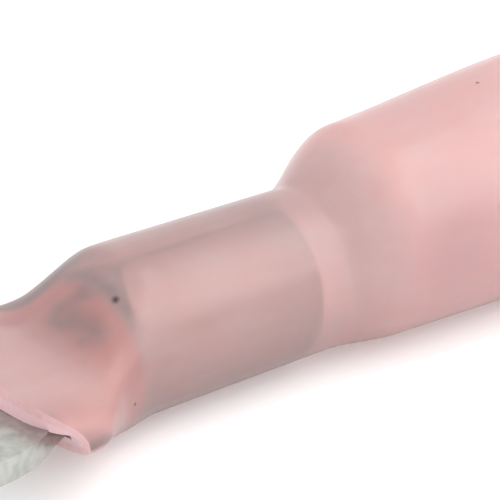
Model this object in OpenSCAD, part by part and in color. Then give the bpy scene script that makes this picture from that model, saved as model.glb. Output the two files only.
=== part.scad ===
// Heat shrink ring terminal for thin wire, in millimetres.
// A tinned copper ring terminal, stamped and rolled from one sheet, sits in a heat shrink sleeve
// with a lining of hot melt adhesive. The origin is the centre of the stud hole, at the underside
// of the ring tongue. +X runs along the terminal towards the wire, +Z is up.

/* [Ring tongue] */
// Outside diameter of the ring
ring_d = 8; // [7.4:0.1:9.4]
// Diameter of the stud hole
stud_d = 4.3; // [3.7:0.1:5.3]
// Thickness of the copper sheet
sheet_t = 0.7; // [0.55:0.05:0.85]
// Width of the neck where it starts to roll up
neck_w = 3.9; // [3.2:0.1:4.6]
// Radius of the hollow curve between the ring and the neck
neck_fillet_r = 7; // [5:0.5:9]

/* [Barrel] */
// Diameter of the wire bore
bore_d = 1.9; // [1.5:0.1:2.3]
// Distance from the stud hole's centre to the barrel's front
barrel_x = 5.55; // [5.25:0.05:6.5]
// Length of the barrel along its underside
barrel_l = 6.8; // [5.8:0.1:8.2]
// How far the front of the barrel leans back from its underside to its top
front_lean = 1.6; // [1.2:0.1:2]
// Height of the barrel's axis above the underside of the tongue
axis_rise = 0.85; // [0.65:0.05:1.05]
// Width of the butted seam along the top of the barrel
seam_gap = 0.1; // [0.06:0.02:0.2]
// Depth of the chamfer at the wire end of the bore
lead_in = 0.2; // [0.1:0.05:0.3]
// Number of grip grooves rolled into the bore
groove_count = 3; // [0:1:4]
// Width of a grip groove
groove_w = 0.4; // [0.3:0.05:0.5]
// Depth of a grip groove
groove_depth = 0.08; // [0.04:0.02:0.14]

/* [Sleeve] */
// Wall of the heat shrink jacket where it isn't shrunk
jacket_t = 0.3; // [0.24:0.02:0.36]
// Wall of the adhesive lining where it isn't shrunk
lining_t = 0.2; // [0.16:0.02:0.24]
// How far the sleeve's top lip reaches past the barrel's front, over the tongue
lip_reach = 3.6; // [3.2:0.1:4.2]
// How far the mouth's corners are set back from its top lip
corner_setback = 0.95; // [0.6:0.05:1.2]
// How far the mouth's lower lip is set back from its corners
lower_setback = 0.65; // [0.3:0.05:0.9]
// Room beside the tongue inside the mouth
mouth_side_room = 0.3; // [0.2:0.05:0.6]
// Room between the tongue and the lining above it
mouth_top_room = 0.18; // [0.06:0.02:0.2]
// Depth of the sagging lining below the tongue
mouth_sag = 0.35; // [0.2:0.05:0.5]
// Outside diameter of the shrunk sleeve at the front of the barrel
grip_front_d = 4.78; // [4.7:0.02:5]
// Outside diameter of the shrunk sleeve at the wire end of the barrel
grip_rear_d = 4.54; // [4.4:0.02:4.7]
// Gap between the barrel and the lining around it
grip_gap = 0.03; // [0.02:0.01:0.06]
// Outside diameter of the sleeve at its open end
bell_d = 6.4; // [5.8:0.1:7]
// How far the open end's axis lies above the barrel's axis
bell_rise = 0.76; // [0.4:0.02:0.86]
// Gap along the sleeve between the barrel's wire end and the shoulder
shoulder_gap = 0.65; // [0.3:0.05:0.9]
// Length of the shoulder that opens from the barrel's size to the open end's
shoulder_l = 2.2; // [2:0.1:3]
// Length over which the sleeve goes on opening behind the shoulder
flare_l = 6.6; // [5:0.2:8]
// Length of the straight run at the open end
bell_l = 5; // [3.6:0.2:7]

/* [Hidden] */

// Copper: outline of the tongue
ring_r = ring_d / 2;
neck_half_w = neck_w / 2;
fillet_cy = neck_half_w + neck_fillet_r;
fillet_cx = sqrt(pow(ring_r + neck_fillet_r, 2) - pow(fillet_cy, 2));
fillet_tangent = ring_r / (ring_r + neck_fillet_r) * [fillet_cx, fillet_cy];

// Copper: the roll from flat neck to round barrel
barrel_ir = bore_d / 2;
barrel_or = barrel_ir + sheet_t;
barrel_mr = barrel_ir + sheet_t / 2;
barrel_end_x = barrel_x + barrel_l;
seam_x = barrel_x + front_lean;
roll_before_barrel = 1.2;
roll_past_front = 0.8;
widening_past_front = 0.35;
roll_x = barrel_x - roll_before_barrel;
rolled_x = barrel_x + roll_past_front;
widening_x = barrel_x + widening_past_front;
seam_half_angle = asin(seam_gap / 2 / barrel_mr);
seam_half_w = (180 - seam_half_angle) / 180 * PI * barrel_mr;
groove_pitch = (barrel_end_x - lead_in - seam_x) / (groove_count + 1);

// Sleeve: stations along the terminal
wall_t = jacket_t + lining_t;
flat_mouth_l = 1.4;
low_mouth_l = 2.2;
risen_before_seam = 0.2;
grip_past_seam = 0.1;
underside_past_front = 0.7;
mouth_x = barrel_x - lip_reach;
rounding_x = mouth_x + flat_mouth_l;
rise_x = mouth_x + low_mouth_l;
risen_x = seam_x - risen_before_seam;
lowest_x = barrel_x + underside_past_front;
narrow_x = lowest_x + 0.3;
grip_x = seam_x + grip_past_seam;
shoulder_x = barrel_end_x + shoulder_gap;
flare_x = shoulder_x + shoulder_l;
bell_x = flare_x + flare_l;
sleeve_end_x = bell_x + bell_l;

// Sleeve: sizes that follow from the copper inside it
bell_r = bell_d / 2;
bell_z = axis_rise + bell_rise;
grip_ir = barrel_or + grip_gap;
jacket_share = jacket_t / wall_t;
mouth_half_w = tongue_half_w(mouth_x) + mouth_side_room + wall_t;
mouth_side_z = sheet_t / 2;
mouth_top_z = sheet_t + mouth_top_room + wall_t;
mouth_bottom_z = -mouth_sag - wall_t;
shoulder_share = 0.75;

// Sleeve: powers of the curves that its sections follow. 2 is round, a higher one is squarer.
mouth_top_power = 4;
mouth_under_power = 1.6;
neck_under_power = 3;

// Mesh of the skins
ring_points = 48;
roll_points = 36;
neck_steps = 13;
front_steps = 14;
shoulder_steps = 7;
flare_steps = 4;
least_curve = 0.001;
// A skin ends this deep inside the plain wall that continues it, and this much thinner than that wall
root_l = 0.25;
seat = 0.02;
round_fn = 96;

function smooth(t) = let (c = min(max(t, 0), 1)) c * c * (3 - 2 * c);
function ramp(x, from, to) = smooth((x - from) / (to - from));
function blend(a, b, t) = a + (b - a) * t;
function steps(from, to, count) = [for (i = [1:count]) blend(from, to, i / count)];

// Half the width of the flat copper at x: a circle, then the hollow curve, then the straight neck.
function tongue_half_w(x) =
    x < fillet_tangent[0] ? sqrt(max(pow(ring_r, 2) - pow(x, 2), 0)) :
    x < fillet_cx ? fillet_cy - sqrt(pow(neck_fillet_r, 2) - pow(x - fillet_cx, 2)) :
    neck_half_w;

// The sheet's half width at x, measured along its bent middle line.
function sheet_half_w(x) = blend(tongue_half_w(x), seam_half_w, ramp(x, widening_x, seam_x));

// A line across the sheet at x, offset from its middle: bent to a growing share of the barrel's curve.
function sheet_line(x, offset) =
    let (
        curve = max(ramp(x, roll_x, rolled_x), least_curve) / barrel_mr,
        low_z = blend(sheet_t / 2, axis_rise - barrel_mr, ramp(x, roll_x, rolled_x)),
        half = sheet_half_w(x) - seat
    )
    [
        for (i = [0:roll_points])
            let (turn = curve * half * blend(-1, 1, i / roll_points) * 180 / PI)
            [x, (1 / curve - offset) * sin(turn), low_z + 1 / curve - (1 / curve - offset) * cos(turn)]
    ];

// Shape of the sleeve's outside at x: half width, height of the widest line, top and underside.
function opening(x) = shoulder_share * ramp(x, shoulder_x, flare_x)
    + (1 - shoulder_share) * ramp(x, shoulder_x + shoulder_l / 2, bell_x);
function grip_r(x) = blend(grip_front_d, grip_rear_d, (x - grip_x) / (shoulder_x - grip_x)) / 2;
function outside_r(x) = blend(grip_r(min(x, shoulder_x)), bell_r, opening(x));
function centre_z(x) = blend(axis_rise, bell_z, opening(x));
function narrowing(x) = ramp(x, mouth_x, narrow_x);
function side_y(x) = x < grip_x ? blend(mouth_half_w, grip_front_d / 2, narrowing(x)) : outside_r(x);
function side_z(x) = x < grip_x ? blend(mouth_side_z, axis_rise, ramp(x, rise_x, grip_x)) : centre_z(x);
function top_z(x) = x < grip_x
    ? blend(mouth_top_z, axis_rise + grip_front_d / 2, ramp(x, rise_x, risen_x))
    : centre_z(x) + outside_r(x);
function bottom_z(x) = x < grip_x
    ? blend(mouth_bottom_z, axis_rise - grip_front_d / 2, ramp(x, mouth_x, lowest_x))
    : centre_z(x) - outside_r(x);
// How far the mouth's edge lies behind its top lip, at a height from 1 at the top to -1 underneath.
function lip_back(v) = v > 0 ? corner_setback * (1 - v * v) : corner_setback - v * lower_setback;
// Power of the section's curve above and below its widest line. The underside lies flat under the neck.
function top_power(x) = blend(mouth_top_power, 2, ramp(x, rounding_x, barrel_x));
function under_power(x) = x < barrel_x
    ? blend(mouth_under_power, neck_under_power, ramp(x, rounding_x, barrel_x))
    : blend(neck_under_power, 2, ramp(x, lowest_x - 0.3, grip_x));
function wall_at(x) =
    x < grip_x ? blend(wall_t, grip_front_d / 2 - grip_ir, ramp(x, mouth_x, grip_x)) :
    x < shoulder_x ? grip_r(x) - grip_ir :
    blend(grip_r(shoulder_x) - grip_ir, wall_t, ramp(x, shoulder_x, flare_x));

// One ring of the sleeve at x, taken in from the outside by a share of the wall.
// The mouth's top is flattened and its underside is pointed at the sides; both are round on the barrel.
function sleeve_ring(x, share, root_inset) =
    let (
        inset = share * wall_at(x) + (x < bell_x ? 0 : root_inset),
        y = side_y(x) - inset,
        z = side_z(x),
        rise = top_z(x) - z - inset,
        drop = z - bottom_z(x) - inset,
        keep = 1 - ramp(x, mouth_x, barrel_x)
    )
    [
        for (i = [0:ring_points - 1])
            let (
                a = 360 * i / ring_points,
                power = a < 180 ? top_power(x) : under_power(x),
                reach = pow(pow(abs(cos(a)), power) + pow(abs(sin(a)), power), -1 / power)
            )
            [
                x + keep * lip_back(reach * sin(a)),
                y * reach * cos(a),
                z + (a < 180 ? rise : drop) * reach * sin(a)
            ]
    ];

front_stations = steps(mouth_x, grip_x, front_steps);
shoulder_stations = steps(shoulder_x, flare_x, shoulder_steps);
flare_stations = steps(flare_x, bell_x, flare_steps);
sleeve_stations = concat([mouth_x], front_stations, [shoulder_x], shoulder_stations, flare_stations, [bell_x + root_l]);

// A wall between two grids of points, rows of equal length. A closed wall joins each row's ends.
module wall_skin(outer, inner, closed) {
    rows = len(outer);
    count = len(outer[0]);
    last = closed ? count - 1 : count - 2;
    function at(side, i, j) = (side * rows + i) * count + j % count;
    function pair(a, b, c, d) = [[a, c, b], [a, d, c]];
    faces = concat(
        [for (i = [0:rows - 2], j = [0:last])
            each pair(at(0, i, j), at(0, i, j + 1), at(0, i + 1, j + 1), at(0, i + 1, j))],
        [for (i = [0:rows - 2], j = [0:last])
            each pair(at(1, i, j), at(1, i + 1, j), at(1, i + 1, j + 1), at(1, i, j + 1))],
        [for (j = [0:last]) each pair(at(0, 0, j), at(1, 0, j), at(1, 0, j + 1), at(0, 0, j + 1))],
        [for (j = [0:last])
            each pair(at(0, rows - 1, j), at(0, rows - 1, j + 1), at(1, rows - 1, j + 1), at(1, rows - 1, j))],
        closed ? [] : [for (i = [0:rows - 2])
            each concat(
                pair(at(0, i, 0), at(0, i + 1, 0), at(1, i + 1, 0), at(1, i, 0)),
                pair(at(0, i, count - 1), at(1, i, count - 1), at(1, i + 1, count - 1), at(0, i + 1, count - 1))
            )]
    );
    polyhedron(points = [for (grid = [outer, inner], row = grid) each row], faces = faces, convexity = 8);
}

// A solid of revolution about the X direction at height z, from a profile of [x, radius] points.
module turned(z, profile, angle = 360) {
    translate([0, 0, z])
        rotate([0, 90, 0])
            rotate([0, 0, 180 + (360 - angle) / 2])
                rotate_extrude(angle = angle, $fn = round_fn)
                    polygon([for (p = profile) [p[1], p[0]]]);
}

module tongue() {
    linear_extrude(height = sheet_t)
        difference() {
            union() {
                circle(d = ring_d, $fn = round_fn);
                difference() {
                    translate([fillet_tangent[0], -fillet_tangent[1]])
                        square([roll_x - fillet_tangent[0], 2 * fillet_tangent[1]]);
                    for (side = [-1, 1])
                        translate([fillet_cx, side * fillet_cy])
                            circle(r = neck_fillet_r, $fn = 2 * round_fn);
                }
            }
            circle(d = stud_d, $fn = round_fn);
        }
}

// The neck drops, widens and rolls up until its edges meet along the seam.
module rolled_neck() {
    stations = concat([roll_x - root_l, roll_x], steps(roll_x, seam_x, neck_steps), [seam_x + root_l]);
    grid = function (offset) [for (x = stations) sheet_line(x, offset)];
    wall_skin(grid(seat - sheet_t / 2), grid(sheet_t / 2 - seat), false);
}

module barrel() {
    grooves = [
        for (i = [1:1:groove_count])
            let (x = seam_x + i * groove_pitch)
            each [
                [x - groove_w / 2, barrel_ir],
                [x - groove_w / 2 + groove_depth, barrel_ir + groove_depth],
                [x + groove_w / 2 - groove_depth, barrel_ir + groove_depth],
                [x + groove_w / 2, barrel_ir]
            ]
    ];
    turned(
        axis_rise,
        concat(
            [[barrel_end_x, barrel_or], [seam_x, barrel_or], [seam_x, barrel_ir]],
            grooves,
            [[barrel_end_x - lead_in, barrel_ir], [barrel_end_x, barrel_ir + lead_in]]
        ),
        360 - 2 * seam_half_angle
    );
}

module ring_terminal() {
    color([0.78, 0.79, 0.76]) {
        tongue();
        rolled_neck();
        barrel();
    }
}

// One layer of the sleeve, between two shares of its wall: a skin up to the bell, then a true tube.
module sleeve_layer(outer_share, inner_share) {
    grid = function (share, root_inset) [for (x = sleeve_stations) sleeve_ring(x, share, root_inset)];
    outer_r = bell_r - outer_share * wall_t;
    inner_r = bell_r - inner_share * wall_t;
    wall_skin(grid(outer_share, seat), grid(inner_share, -seat), true);
    turned(bell_z, [[bell_x, inner_r], [sleeve_end_x, inner_r], [sleeve_end_x, outer_r], [bell_x, outer_r]]);
}

module adhesive_lining() {
    color([0.93, 0.80, 0.82, 0.7])
        sleeve_layer(jacket_share, 1);
}

module heat_shrink_sleeve() {
    color([0.93, 0.62, 0.62, 0.6])
        sleeve_layer(0, jacket_share);
}

ring_terminal();
adhesive_lining();
heat_shrink_sleeve();
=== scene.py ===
"""Looks of a heat shrink ring terminal: tinned copper inside a shrunk, translucent pink sleeve."""
import math
import bmesh
import bpy
from mathutils import Matrix, Vector


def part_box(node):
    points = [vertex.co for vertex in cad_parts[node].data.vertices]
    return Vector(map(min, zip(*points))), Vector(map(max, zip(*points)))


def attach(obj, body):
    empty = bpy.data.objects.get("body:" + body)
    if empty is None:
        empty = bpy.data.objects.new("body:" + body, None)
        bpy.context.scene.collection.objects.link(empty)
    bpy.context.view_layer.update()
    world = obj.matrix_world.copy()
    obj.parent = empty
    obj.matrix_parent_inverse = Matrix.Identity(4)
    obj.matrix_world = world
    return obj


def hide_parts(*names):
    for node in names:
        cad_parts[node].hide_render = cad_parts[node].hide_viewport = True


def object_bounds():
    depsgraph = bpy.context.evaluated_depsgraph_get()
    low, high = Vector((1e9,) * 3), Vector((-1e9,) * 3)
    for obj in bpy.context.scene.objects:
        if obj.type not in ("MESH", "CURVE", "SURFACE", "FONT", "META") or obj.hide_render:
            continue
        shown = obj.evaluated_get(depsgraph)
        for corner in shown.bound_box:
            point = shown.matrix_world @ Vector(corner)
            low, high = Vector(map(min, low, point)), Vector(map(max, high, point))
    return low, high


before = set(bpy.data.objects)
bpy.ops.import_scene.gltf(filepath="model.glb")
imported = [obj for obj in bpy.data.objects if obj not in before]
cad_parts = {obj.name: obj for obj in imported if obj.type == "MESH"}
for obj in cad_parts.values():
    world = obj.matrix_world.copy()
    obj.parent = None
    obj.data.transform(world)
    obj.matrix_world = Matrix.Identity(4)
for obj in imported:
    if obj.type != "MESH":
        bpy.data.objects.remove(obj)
cad_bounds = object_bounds()

MM = 0.001

# Lengths along the sleeve in millimetres
roll_l = 1.6
grip_past_seam = 0.1
shoulder_past_barrel = 0.65
shoulder_l = 2.2
bell_l = 6.6
flat_mouth_l = 1.4
low_mouth_l = 2.2
risen_before_seam = 0.2
underside_past_front = 0.7
narrow_past_lowest = 0.3
round_before_lowest = 0.3

# Places along X in millimetres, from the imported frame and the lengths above
sleeve_low, sleeve_high = [[v / MM for v in corner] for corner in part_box("heat_shrink_sleeve")]
mouth_x = sleeve_low[0]
sleeve_end_x = sleeve_high[0]
barrel_end_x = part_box("ring_terminal")[1][0] / MM
barrel_x = 5.55
seam_x = barrel_x + roll_l
grip_x = seam_x + grip_past_seam
shoulder_x = barrel_end_x + shoulder_past_barrel
shoulder_middle_x = shoulder_x + shoulder_l / 2
flare_x = shoulder_x + shoulder_l
bell_x = flare_x + bell_l
rounding_x = mouth_x + flat_mouth_l
rise_x = mouth_x + low_mouth_l
risen_x = seam_x - risen_before_seam
lowest_x = barrel_x + underside_past_front
narrow_x = lowest_x + narrow_past_lowest

# The sleeve's sizes across in millimetres; its wall counts from 0 outside to 1 inside
axis_z = 0.85
barrel_r = 1.65
grip_front_r = 2.39
grip_rear_r = 2.27
grip_gap = 0.03
bell_r = 3.2
bell_z = axis_z + 0.76
wall_t = 0.5
jacket_share = 0.6
shoulder_share = 0.75
mouth_half_w = sleeve_high[1]
mouth_side_z = 0.35
mouth_top_z = 1.38
mouth_bottom_z = -0.85
corner_setback = 0.95
lower_setback = 0.65

# How far the lining was melted into the mouth's corners and down onto the tongue, in millimetres
corner_fill = 0.38
top_fill = 0.16
fill_power = 4

# Powers of the curves that the sections follow: 2 is round, a higher one is squarer. Under the neck
# the part itself is squarer, so that it comes to rest. Here it is as round as in the photograph.
mouth_top_power = 4
mouth_under_power = 1.6
neck_under_power = 2.4

# Points round the sleeve, and rings along its neck, barrel, shoulder and flare
ring_points = 120
neck_rings = 44
barrel_rings = 14
shoulder_rings = 24
flare_rings = 18

# Merging distances in metres, angles in degrees and the radius of the metal's stamped edges
layer_merge_m = 1e-7
metal_merge_m = 2e-7
flat_angle = 0.5
stamped_angle = 50
layer_sharp_angle = 50
metal_sharp_angle = 40
stamped_edge_r = 0.09
stamped_edge_segments = 3


def smooth(t):
    c = min(max(t, 0.0), 1.0)
    return c * c * (3 - 2 * c)


def ramp(x, start, end):
    return smooth((x - start) / (end - start))


def blend(a, b, t):
    return a + (b - a) * t


def srgb(code):
    """Turns a colour written as sRGB hex into the linear numbers that a socket takes."""
    values = [int(code[i : i + 2], 16) / 255 for i in (1, 3, 5)]
    linear = [v / 12.92 if v <= 0.04045 else ((v + 0.055) / 1.055) ** 2.4 for v in values]
    return (*linear, 1.0)


def opening(x):
    """How far the sleeve has opened from the barrel's size to the open end's, from 0 to 1."""
    first = shoulder_share * ramp(x, shoulder_x, flare_x)
    return first + (1 - shoulder_share) * ramp(x, shoulder_middle_x, bell_x)


def grip_r(x):
    return blend(grip_front_r, grip_rear_r, (x - grip_x) / (shoulder_x - grip_x))


def top_power(x):
    return blend(mouth_top_power, 2, ramp(x, rounding_x, barrel_x))


def under_power(x):
    if x < barrel_x:
        return blend(mouth_under_power, neck_under_power, ramp(x, rounding_x, barrel_x))
    return blend(neck_under_power, 2, ramp(x, lowest_x - round_before_lowest, grip_x))


def section(x):
    """The sleeve's outside at x: half width, height of the widest line, top, underside and wall."""
    if x >= grip_x:
        gripped_r = grip_r(min(x, shoulder_x))
        radius = blend(gripped_r, bell_r, opening(x))
        centre = blend(axis_z, bell_z, opening(x))
        wall = blend(gripped_r - barrel_r - grip_gap, wall_t, ramp(x, shoulder_x, flare_x))
        return radius, centre, centre + radius, centre - radius, wall
    side_y = blend(mouth_half_w, grip_front_r, ramp(x, mouth_x, narrow_x))
    side_z = blend(mouth_side_z, axis_z, ramp(x, rise_x, grip_x))
    top_z = blend(mouth_top_z, axis_z + grip_front_r, ramp(x, rise_x, risen_x))
    bottom_z = blend(mouth_bottom_z, axis_z - grip_front_r, ramp(x, mouth_x, lowest_x))
    wall = blend(wall_t, grip_front_r - barrel_r - grip_gap, ramp(x, mouth_x, grip_x))
    return side_y, side_z, top_z, bottom_z, wall


def sleeve_point(x, turn, share):
    """A point of the sleeve in millimetres, at an angle round it and a share of the wall from its outside."""
    side_y, side_z, top_z, bottom_z, wall = section(x)
    inset = share * wall
    melted = max(0.0, share - jacket_share) / (1 - jacket_share) * (1 - ramp(x, mouth_x, rounding_x))
    c, s = math.cos(turn), math.sin(turn)
    power = top_power(x) if s > 0 else under_power(x)
    reach = (abs(c) ** power + abs(s) ** power) ** (-1 / power)
    v = reach * s
    setback = corner_setback * (1 - v * v) if v > 0 else corner_setback - v * lower_setback
    half_h = (top_z - side_z - top_fill * melted if s > 0 else side_z - bottom_z) - inset
    half_w = side_y - inset - corner_fill * melted * c**fill_power
    return Vector((x + (1 - ramp(x, mouth_x, barrel_x)) * setback, half_w * reach * c, side_z + half_h * v))


def stations():
    """Where the sleeve's rings lie along X: close together where it bends, wide apart on straight runs."""
    runs = [
        (mouth_x, grip_x, neck_rings),
        (grip_x, shoulder_x, barrel_rings),
        (shoulder_x, flare_x, shoulder_rings),
        (flare_x, bell_x, flare_rings),
    ]
    xs = [blend(start, end, i / count) for start, end, count in runs for i in range(count)]
    return xs + [bell_x, blend(bell_x, sleeve_end_x, 0.5), sleeve_end_x]


def wall_loop(outer_share, inner_share):
    """Goes once round the wall's section: out along the outside, over the end, back inside, over the lip."""
    xs = stations()
    middle = (outer_share + inner_share) / 2
    outside = [(x, outer_share, "outside") for x in xs]
    inside = [(x, inner_share, "inside") for x in reversed(xs)]
    return outside + [(sleeve_end_x, middle, "cut")] + inside + [(mouth_x, middle, "cut")]


def build_layer(name, node, outer_share, inner_share, bonded_side, materials):
    """One layer of the sleeve: a grid rolled round into a tube whose wall closes on itself.

    Each face says whether it is open to the air or bonded to the other layer.
    """
    loop = wall_loop(outer_share, inner_share)
    rows = len(loop)
    bm = bmesh.new()
    open_face = bm.faces.layers.float.new("open_face")
    bmesh.ops.create_grid(bm, x_segments=rows, y_segments=ring_points, size=0.5)
    for face in bm.faces:
        row = math.floor((face.calc_center_median().x + 0.5) * rows)
        sides = {loop[row][2], loop[(row + 1) % rows][2]}
        face.material_index = 1 if "cut" in sides else 0
        face[open_face] = float(bonded_side not in sides)
        face.smooth = True
    for vert in bm.verts:
        x, share, _ = loop[round((vert.co.x + 0.5) * rows) % rows]
        turn = round((vert.co.y + 0.5) * ring_points) / ring_points * 2 * math.pi
        vert.co = sleeve_point(x, turn, share) * MM
    bmesh.ops.remove_doubles(bm, verts=bm.verts, dist=layer_merge_m)
    bmesh.ops.recalc_face_normals(bm, faces=bm.faces)
    return finished(name, bm, materials, node, layer_sharp_angle)


def finished(name, bm, materials, node, sharp_angle):
    """Makes the piece's object from its bmesh, with its materials, and lets it stand for its CAD node."""
    mesh = bpy.data.meshes.new(name)
    bm.to_mesh(mesh)
    bm.free()
    mesh.set_sharp_from_angle(angle=math.radians(sharp_angle))
    piece = bpy.data.objects.new(name, mesh)
    bpy.context.scene.collection.objects.link(piece)
    for material in materials:
        mesh.materials.append(material)
    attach(piece, "root")
    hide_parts(node)
    return piece


def build_terminal(materials):
    """The metal as it was stamped and rolled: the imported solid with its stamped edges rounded."""
    bm = bmesh.new()
    bm.from_mesh(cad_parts["ring_terminal"].data)
    bmesh.ops.remove_doubles(bm, verts=bm.verts, dist=metal_merge_m)
    bmesh.ops.dissolve_limit(
        bm, angle_limit=math.radians(flat_angle), verts=bm.verts, edges=bm.edges, delimit={"NORMAL"}
    )
    stamped = [e for e in bm.edges if e.is_manifold and e.calc_face_angle() > math.radians(stamped_angle)]
    bmesh.ops.bevel(
        bm,
        geom=stamped,
        offset=stamped_edge_r * MM,
        affect="EDGES",
        segments=stamped_edge_segments,
        profile=0.5,
        material=-1,
        clamp_overlap=True,
    )
    for face in bm.faces:
        face.smooth = True
    return finished("tinned_terminal", bm, materials, "ring_terminal", metal_sharp_angle)


# Sockets of a mix node that is set to colours
mix_a = 6
mix_b = 7
mix_result = 2


def add_node(tree, kind, settings=None, links=None, out=0):
    """Adds a node and gives one of its outputs.

    Settings name its properties or its sockets' values, links name what feeds its sockets.
    """
    node = tree.nodes.new("ShaderNode" + kind)
    for key, value in (settings or {}).items():
        if isinstance(key, str) and hasattr(node, key):
            setattr(node, key, value)
        else:
            node.inputs[key].default_value = value
    for key, source in (links or {}).items():
        tree.links.new(source, node.inputs[key])
    return node.outputs[out] if node.outputs else None


def new_material(name):
    material = bpy.data.materials.new(name)
    material.use_nodes = True
    material.node_tree.nodes.clear()
    return material, material.node_tree


def span(low, high, to_low=0.0, to_high=1.0):
    """Settings that turn the range from low to high into another one and hold at its ends."""
    return {"From Min": low, "From Max": high, "To Min": to_low, "To Max": to_high}


def noise_pattern(tree, size_mm, detail=3.0, stretch=(1, 1, 1), distortion=0.0):
    """A noise in the object's own coordinates whose blobs are about size_mm across."""
    place = add_node(tree, "TexCoord", out="Object")
    stretched = add_node(tree, "Mapping", {"Scale": stretch}, {"Vector": place})
    settings = {"Scale": 1 / (size_mm * MM), "Detail": detail, "Distortion": distortion}
    return add_node(tree, "TexNoise", settings, {"Vector": stretched}, "Fac")


def mask(tree, *fades):
    """Where several fades hold together.

    Each takes a length in metres and goes from 0 at its first place, in millimetres, to 1 at its second.
    """
    amount = None
    for length, start_mm, end_mm in fades:
        fade = add_node(tree, "MapRange", span(start_mm * MM, end_mm * MM), {"Value": length})
        if amount is None:
            amount = fade
        else:
            amount = add_node(tree, "Math", {"operation": "MULTIPLY"}, {0: amount, 1: fade})
    return amount


def spot(tree, place_mm, size_mm, core):
    """A round mark at one place on the part, solid within its core and fading out at its size."""
    place = add_node(tree, "TexCoord", out="Object")
    centre = [v * MM for v in place_mm]
    away = add_node(tree, "VectorMath", {"operation": "DISTANCE", 1: centre}, {0: place}, "Value")
    return mask(tree, (away, size_mm / 2, size_mm / 2 * core))


def paint(tree, base, layers):
    """Lays colours one by one over a base colour, each as far as its own amount says."""
    colour = None
    for amount, code in layers:
        settings = {"data_type": "RGBA", mix_b: srgb(code)}
        links = {"Factor": amount}
        if colour is None:
            settings[mix_a] = srgb(base)
        else:
            links[mix_a] = colour
        colour = add_node(tree, "Mix", settings, links, mix_result)
    return colour


# Marks of the tin in millimetres: soft mottling, fine scratches along the metal and the sheet's grain
mottle_size = 0.35
scratch_size = 0.12
grain_size = 0.25
drawn_out = (0.12, 1.0, 1.0)


def tinned_copper():
    """Electroplated matte tin over stamped copper.

    It looks pale grey with a green cast, softly mottled, with broad reflections and fine scratches.
    """
    material, tree = new_material("tinned_copper")
    mottling = add_node(tree, "MapRange", span(0.38, 0.62), {"Value": noise_pattern(tree, mottle_size, 5.0)})
    colour = paint(tree, "#A5A9A2", [(mottling, "#BABAB5")])
    roughness = add_node(tree, "MapRange", span(0.0, 1.0, 0.34, 0.48), {"Value": mottling})
    scratches = noise_pattern(tree, scratch_size, 4.0, drawn_out, 0.6)
    scratched = add_node(tree, "Bump", {"Strength": 0.25, "Distance": 0.02 * MM}, {"Height": scratches})
    grain = add_node(
        tree,
        "Bump",
        {"Strength": 0.3, "Distance": 0.03 * MM},
        {"Height": noise_pattern(tree, grain_size), "Normal": scratched},
    )
    shader = add_node(
        tree,
        "BsdfPrincipled",
        {"Metallic": 1.0},
        {"Base Color": colour, "Roughness": roughness, "Normal": grain},
    )
    add_node(tree, "OutputMaterial", None, {"Surface": shader})
    return material


# A nick and two specks on the jacket's outside: place and size in millimetres
jacket_marks = (((6.03, -1.154, 2.525), 0.3), ((19.05, 0.0, 4.687), 0.16), ((5.61, -2.57, 0.141), 0.16))
mark_core = 0.2
jacket_cloud_size = 1.4
drawn_streak_size = 0.5
ripple_size = 0.5

# How strongly the pink dye takes up, in each metre of wall, the colours that its own lacks
dye_density = 1100.0


def pink_jacket():
    """Cross linked polyolefin, extruded, cut and shrunk.

    It has a satin skin over a clear wall that is dyed pink right through, so it is redder where light
    goes a longer way inside it. Where it is bonded to the lining there is no surface to see.
    """
    material, tree = new_material("pink_polyolefin")
    open_face = add_node(tree, "Attribute", {"attribute_name": "open_face"}, out="Fac")
    clouds = noise_pattern(tree, jacket_cloud_size, 2.0)
    streaks = noise_pattern(tree, drawn_streak_size, 3.0, drawn_out)
    layers = [
        (add_node(tree, "MapRange", span(0.35, 0.65), {"Value": clouds}), "#FFFBFA"),
        (add_node(tree, "MapRange", span(0.35, 0.65, 0.0, 0.5), {"Value": streaks}), "#F8E9E8"),
    ]
    layers += [(spot(tree, place_mm, size_mm, mark_core), "#6A5258") for place_mm, size_mm in jacket_marks]
    ripples = noise_pattern(tree, ripple_size)
    bump = add_node(tree, "Bump", {"Strength": 0.2, "Distance": 0.02 * MM}, {"Height": ripples})
    shader = add_node(
        tree,
        "BsdfPrincipled",
        {"Roughness": 0.3, "IOR": 1.49, "Transmission Weight": 0.85},
        {"Base Color": paint(tree, "#FDF0EE", layers), "Normal": bump, "Alpha": open_face},
    )
    dye = add_node(tree, "VolumeAbsorption", {"Color": srgb("#EE604C"), "Density": dye_density})
    add_node(tree, "OutputMaterial", None, {"Surface": shader, "Volume": dye})
    return material


# Marks seen in the lining, in millimetres: its own clouds, painted shade with ragged outlines in the hollows
# before the barrel, and a painted lilac reflection of the darker surroundings on the wide end's near side
lining_cloud_size = 1.0
ragged_size = 0.5
hollow_shades = (((5.43, 0.21, 1.53), 1.5), ((5.49, -0.81, 1.5), 1.4), ((6.09, 0.1, 2.14), 0.8))
hollow_shade_core = 0.3
lilac_reflection_place = (16.2, -2.7, 1.5)
lilac_reflection_size = 5.0
lilac_reflection_strength = 0.7

# How much the film hides: thin on the barrel, milky in the wide end. Then what it gains over the air
# gap before the barrel, where it is pressed onto the tongue and over the barrel's rim
barrel_cover = 0.32
bell_cover = 0.92
free_cover = 0.36
tongue_cover = 0.16
rim_cover = 0.3

# Where it does so: each pair goes from none to full, in millimetres past the barrel's front or, where
# it says so, across or up. The tongue's far edge has its sum of Y and a share of X below edge_sum.
free_ends = (0.85, 0.55)
rim_front_ends = (0.6, 0.75)
rim_rear_ends = (1.15, 0.95)
rim_up = (1.2, 2.0)
tongue_ends = (-0.1, -1.3)
tongue_across = (-3.9, -2.2)
edge_slope = 0.56
edge_sum = (4.02, 3.9)


def past_front(ends):
    """Places along X from ones that count from the barrel's front."""
    return [barrel_x + end for end in ends]


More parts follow.
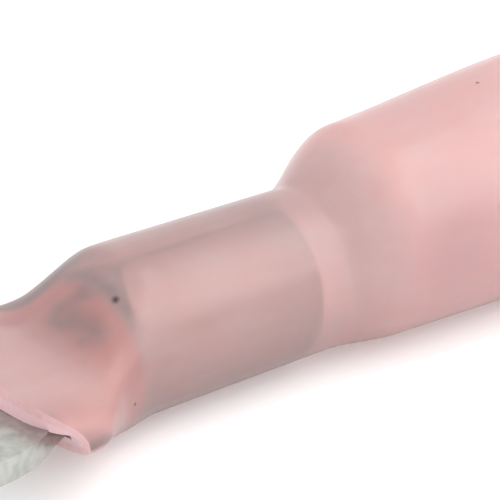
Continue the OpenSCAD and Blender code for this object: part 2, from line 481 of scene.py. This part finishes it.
def hot_melt():
    """Hot melt adhesive, a milky film that clears where it was melted onto the barrel.

    It looks white in the wide end, pink where it hangs free before the barrel, pale where it is pressed
    onto the tongue and grey over the barrel's bare rim.
    """
    material, tree = new_material("hot_melt_adhesive")
    place = add_node(tree, "TexCoord", out="Object")
    along, across, up = [add_node(tree, "SeparateXYZ", None, {"Vector": place}, axis) for axis in "XYZ"]
    clouds = noise_pattern(tree, lining_cloud_size)
    # Painted reflection: a soft lilac patch on the wide end's near side stands in for the darker surroundings
    # reflected there
    lilac_reflection = spot(tree, lilac_reflection_place, lilac_reflection_size, 0.0)
    free = mask(tree, (along, *past_front(free_ends)))
    edge = add_node(tree, "Math", {"operation": "MULTIPLY_ADD", 1: edge_slope}, {0: along, 2: across})
    on_tongue = mask(tree, (edge, *edge_sum), (along, *past_front(tongue_ends)), (across, *tongue_across))
    rim_along = [(along, *past_front(ends)) for ends in (rim_front_ends, rim_rear_ends)]
    rim = mask(tree, *rim_along, (up, *rim_up))
    layers = [
        (add_node(tree, "MapRange", span(0.35, 0.65), {"Value": clouds}), "#FFFFFF"),
        (add_node(tree, "Math", {"operation": "MULTIPLY", 1: lilac_reflection_strength}, {0: lilac_reflection}), "#CDB2C2"),
        (free, "#F09C90"),
        (on_tongue, "#FFFFFF"),
    ]
    ragged = add_node(
        tree, "MapRange", span(0.3, 0.55, 0.35, 1.0), {"Value": noise_pattern(tree, ragged_size)}
    )
    # Painted shade: dark red-brown patches with ragged outlines where the air gap before the barrel lies in
    # shadow
    for place_mm, size_mm in hollow_shades:
        hollow_shade = spot(tree, place_mm, size_mm, hollow_shade_core)
        layers.append((add_node(tree, "Math", {"operation": "MULTIPLY"}, {0: hollow_shade, 1: ragged}), "#8E4A44"))
    layers.append((rim, "#A89E9E"))
    cover = add_node(
        tree,
        "MapRange",
        span(shoulder_x * MM, flare_x * MM, barrel_cover, bell_cover),
        {"Value": along},
    )
    for place_mask, gain in ((free, free_cover), (on_tongue, tongue_cover), (rim, rim_cover)):
        cover = add_node(tree, "Math", {"operation": "MULTIPLY_ADD", 1: gain}, {0: place_mask, 2: cover})
    # The faces bonded to the jacket are clear, so that only the inside of the film is seen
    open_face = add_node(tree, "Attribute", {"attribute_name": "open_face"}, out="Fac")
    cover = add_node(tree, "Math", {"operation": "MULTIPLY"}, {0: cover, 1: open_face})
    shader = add_node(
        tree,
        "BsdfPrincipled",
        {"Roughness": 0.5},
        {"Base Color": paint(tree, "#FFF8F8", layers), "Alpha": cover},
    )
    add_node(tree, "OutputMaterial", None, {"Surface": shader})
    return material


fibre_size = 0.15


def cut_plastic(name, code):
    """The same plastic cut with a knife: paler, duller and a little fibrous beside the smooth skin."""
    material, tree = new_material(name)
    fibres = add_node(
        tree, "MapRange", span(0.3, 0.7, 0.0, 0.6), {"Value": noise_pattern(tree, fibre_size)}
    )
    colour = paint(tree, code, [(fibres, "#EBC9CC")])
    shader = add_node(tree, "BsdfPrincipled", {"Roughness": 0.45}, {"Base Color": colour})
    add_node(tree, "OutputMaterial", None, {"Surface": shader})
    return material


floor_half_w = 3.0
floor_glow = 0.25
world_strength = 1.2
white = (1.0, 1.0, 1.0, 1.0)


def build_floor():
    """Matte white paper under the terminal, white to the camera, in the metal and through the plastic."""
    material, tree = new_material("matte_white_paper")
    seen = add_node(tree, "LightPath", out="Is Camera Ray")
    for kind in ("Is Glossy Ray", "Is Transmission Ray"):
        ray = add_node(tree, "LightPath", out=kind)
        seen = add_node(tree, "Math", {"operation": "MAXIMUM"}, {0: seen, 1: ray})
    glow = add_node(tree, "Math", {"operation": "MULTIPLY", 1: floor_glow}, {0: seen})
    shader = add_node(
        tree,
        "BsdfPrincipled",
        {"Base Color": srgb("#E6E6E6"), "Roughness": 0.9, "Emission Color": white},
        {"Emission Strength": glow},
    )
    add_node(tree, "OutputMaterial", None, {"Surface": shader})
    bm = bmesh.new()
    lowered = Matrix.Translation((0, 0, cad_bounds[0].z))
    bmesh.ops.create_grid(bm, x_segments=1, y_segments=1, size=floor_half_w, matrix=lowered)
    mesh = bpy.data.meshes.new("floor")
    bm.to_mesh(mesh)
    bm.free()
    floor = bpy.data.objects.new("floor", mesh)
    bpy.context.scene.collection.objects.link(floor)
    mesh.materials.append(material)


def build_world():
    """An even white light from all round."""
    world = bpy.data.worlds.new("studio")
    world.use_nodes = True
    background = world.node_tree.nodes["Background"].inputs
    background["Color"].default_value = white
    background["Strength"].default_value = world_strength
    bpy.context.scene.world = world


key_place_mm = (130, -115, 165)
key_size_mm = 260
key_power = 0.35
lit_point_mm = (8, 0, 0)


def add_softbox():
    """A square area lamp, beside and above the photographer, that faces the terminal."""
    lamp = bpy.data.lights.new("key_softbox", "AREA")
    lamp.size = key_size_mm * MM
    lamp.energy = key_power
    box = bpy.data.objects.new("key_softbox", lamp)
    bpy.context.scene.collection.objects.link(box)
    box.location = Vector(key_place_mm) * MM
    box.rotation_mode = "QUATERNION"
    box.rotation_quaternion = (box.location - Vector(lit_point_mm) * MM).to_track_quat("Z", "Y")


# The camera stands as the photograph's did: this far round and above, on a long lens
view_azimuth = math.radians(-37)
view_elevation = math.radians(26.5)
view_width_mm = 13.37
view_distance_mm = 250
barrel_point = Vector((9.83, 0, 0.85))
shift_right_mm = 1.203
shift_up_mm = 1.377
sensor_mm = 36
nearest_m = 0.01
farthest_m = 10


def place_camera():
    back = Vector(
        (
            math.sin(view_azimuth) * math.cos(view_elevation),
            -math.cos(view_azimuth) * math.cos(view_elevation),
            math.sin(view_elevation),
        )
    )
    right = Vector((math.cos(view_azimuth), math.sin(view_azimuth), 0))
    up = back.cross(right)
    aim = barrel_point + right * shift_right_mm + up * shift_up_mm
    data = bpy.data.cameras.new("camera")
    data.sensor_width = sensor_mm
    data.lens = sensor_mm * view_distance_mm / view_width_mm
    data.clip_start = nearest_m
    data.clip_end = farthest_m
    camera = bpy.data.objects.new("camera", data)
    bpy.context.scene.collection.objects.link(camera)
    camera.location = (aim + back * view_distance_mm) * MM
    camera.rotation_mode = "QUATERNION"
    camera.rotation_quaternion = back.to_track_quat("Z", "Y")
    bpy.context.scene.camera = camera


bpy.context.scene.view_settings.view_transform = "Standard"
place_camera()
build_world()
add_softbox()
build_floor()

terminal = build_terminal([tinned_copper()])
jacket_materials = [pink_jacket(), cut_plastic("cut_polyolefin", "#E4B2B4")]
jacket = build_layer("shrunk_jacket", "heat_shrink_sleeve", 0, jacket_share, "inside", jacket_materials)
lining_materials = [hot_melt(), cut_plastic("cut_hot_melt_adhesive", "#EABFC6")]
lining = build_layer("melted_lining", "adhesive_lining", jacket_share, 1, "outside", lining_materials)
